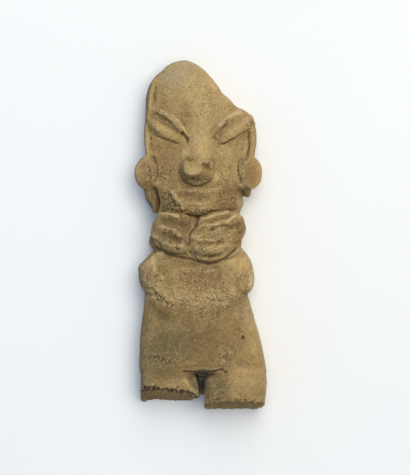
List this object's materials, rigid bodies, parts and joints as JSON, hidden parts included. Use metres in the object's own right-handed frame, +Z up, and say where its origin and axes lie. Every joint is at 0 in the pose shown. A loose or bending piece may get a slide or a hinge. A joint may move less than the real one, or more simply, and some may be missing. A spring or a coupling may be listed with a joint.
{
  "type": "pre-columbian terracotta figurine",
  "caption": "Solid hand-modelled clay figurine, lying face up on its flat back, with slit eyes, a ball nose, ear discs, a ribbed collar, and legs broken off at the thighs.",
  "frame": {"origin": "middle of the bounding box at the level of the surface that the figurine's flat back lies on", "axes": "+Z up out of the face, +Y along the figure towards the crown of the head, +X towards the viewer's right"},
  "size_m": [0.0412, 0.1098, 0.0182],
  "materials": {
    "terracotta": "matte"
  },
  "bodies": {
    "root": {"figurine": "terracotta"}
  },
  "joints": []
}
